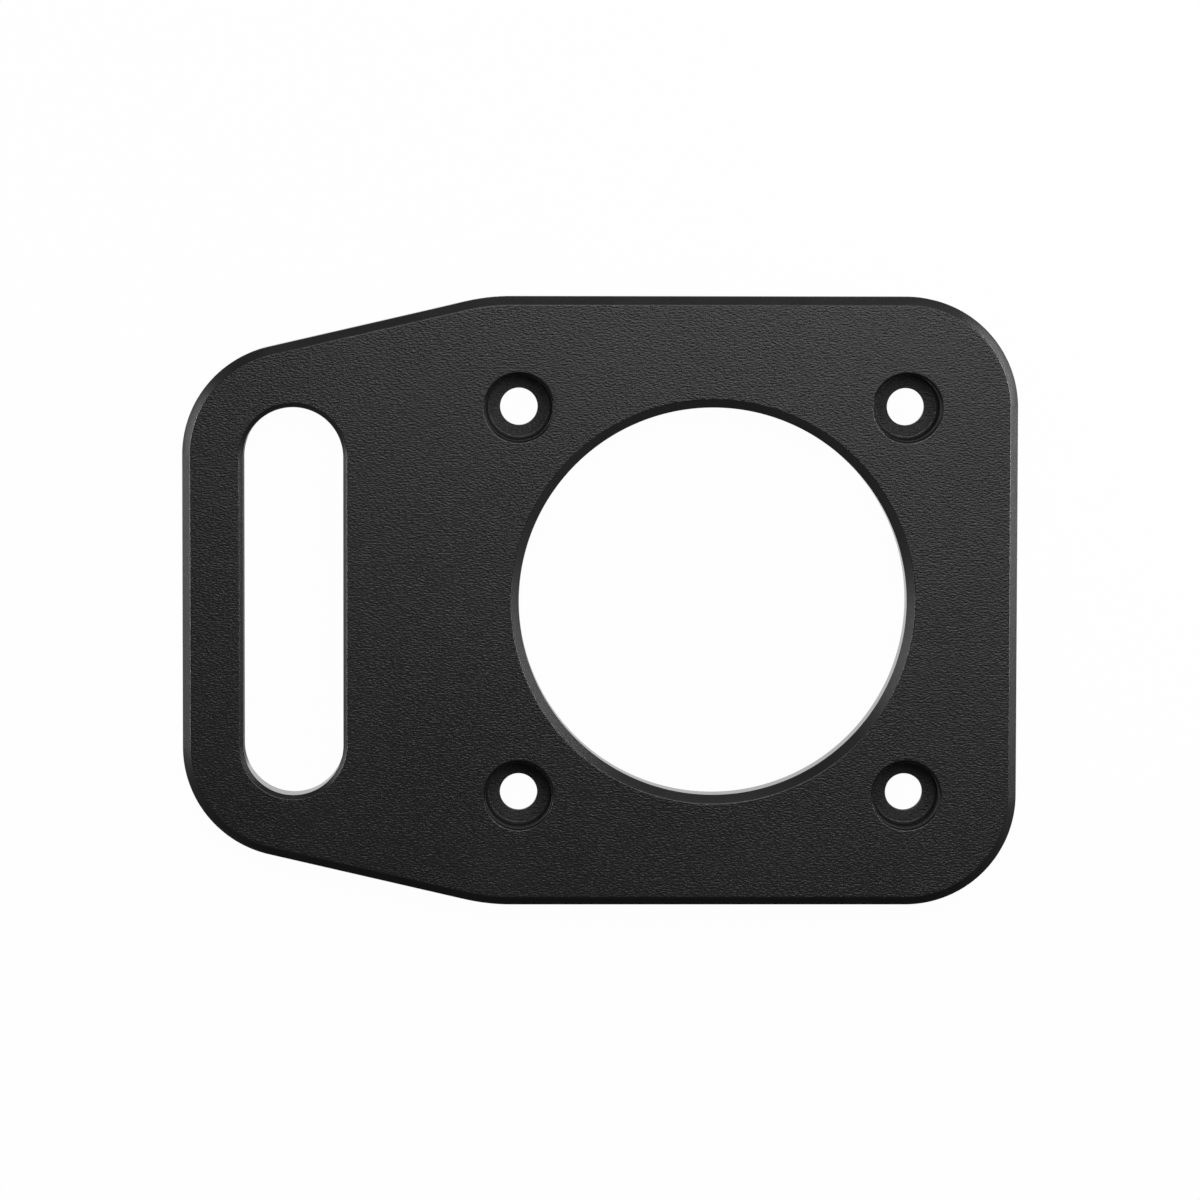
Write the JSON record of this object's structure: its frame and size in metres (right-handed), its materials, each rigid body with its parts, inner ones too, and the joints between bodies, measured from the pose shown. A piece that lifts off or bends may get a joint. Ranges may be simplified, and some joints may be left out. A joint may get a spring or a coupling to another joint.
{
  "type": "receiver mounting bracket",
  "caption": "Flat plastic bracket with a large chamfered bore, counterbored screw holes around it and a long round-ended slot at its tapered end.",
  "frame": {"origin": "centre of the large bore and of the screw hole pattern, on the plate's back face", "axes": "+Z out of the front face, the grained face with the counterbores; +X from the slotted end towards the straight end; +Y across the plate, up in the picture"},
  "size_m": [0.1, 0.073, 0.006],
  "materials": {
    "grained_black_plastic": "fine stretched leather grain on the sheet's faces, smooth where it was machined"
  },
  "bodies": {
    "root": {"bracket_plate": "grained_black_plastic"}
  },
  "joints": []
}
